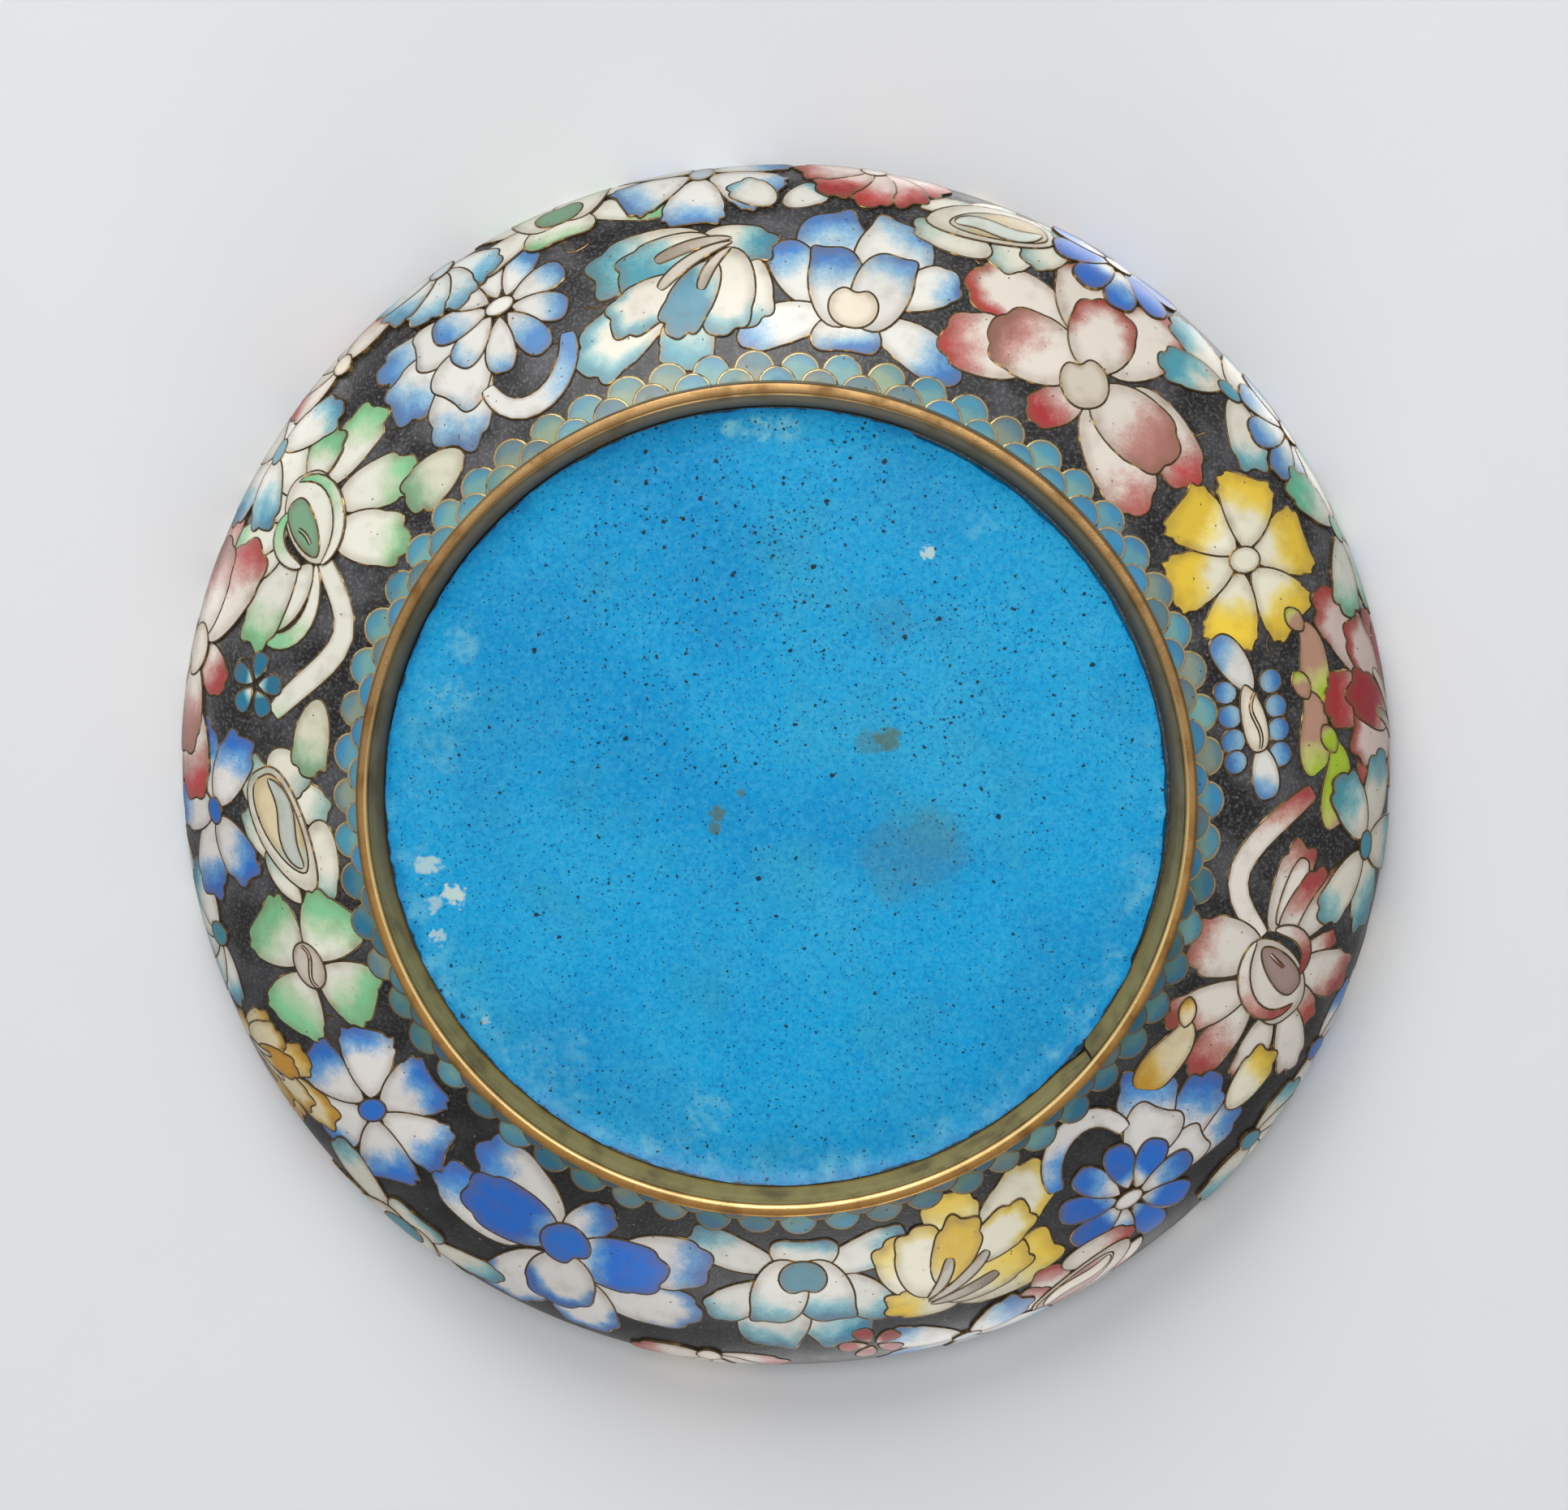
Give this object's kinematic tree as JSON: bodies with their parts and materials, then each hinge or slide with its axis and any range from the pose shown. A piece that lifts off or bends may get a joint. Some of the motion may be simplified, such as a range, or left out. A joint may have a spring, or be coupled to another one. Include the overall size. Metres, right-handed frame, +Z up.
{
  "type": "cloisonne lidded jar",
  "caption": "Squat round cloisonne jar with flowers on a black ground, a blue base inside a brass foot ring, and a domed lift-off lid with a bud knob.",
  "frame": {"origin": "middle of the surface that the foot ring stands on", "axes": "+Z up along the axis of the jar; X and Y lie in the standing surface"},
  "size_m": [0.14, 0.14, 0.0991],
  "materials": {
    "cloisonne_enamel": "satin black enamel ground over copper",
    "blue_enamel": "pitted glossy turquoise blue enamel of the base and the inside",
    "petal_enamel": "white enamel shaded to blue, red, yellow and green at the petal tips",
    "cloison_wire": "polished flush, darkened",
    "foot_brass": "worn satin with brown patina",
    "gilt_brass": "satin gilt"
  },
  "bodies": {
    "root": {"jar_body": "cloisonne_enamel", "foot_ring": "foot_brass", "mouth_rim": "gilt_brass", "lid": "cloisonne_enamel", "lid_rim": "gilt_brass", "lid_knob": "gilt_brass"}
  },
  "joints": []
}
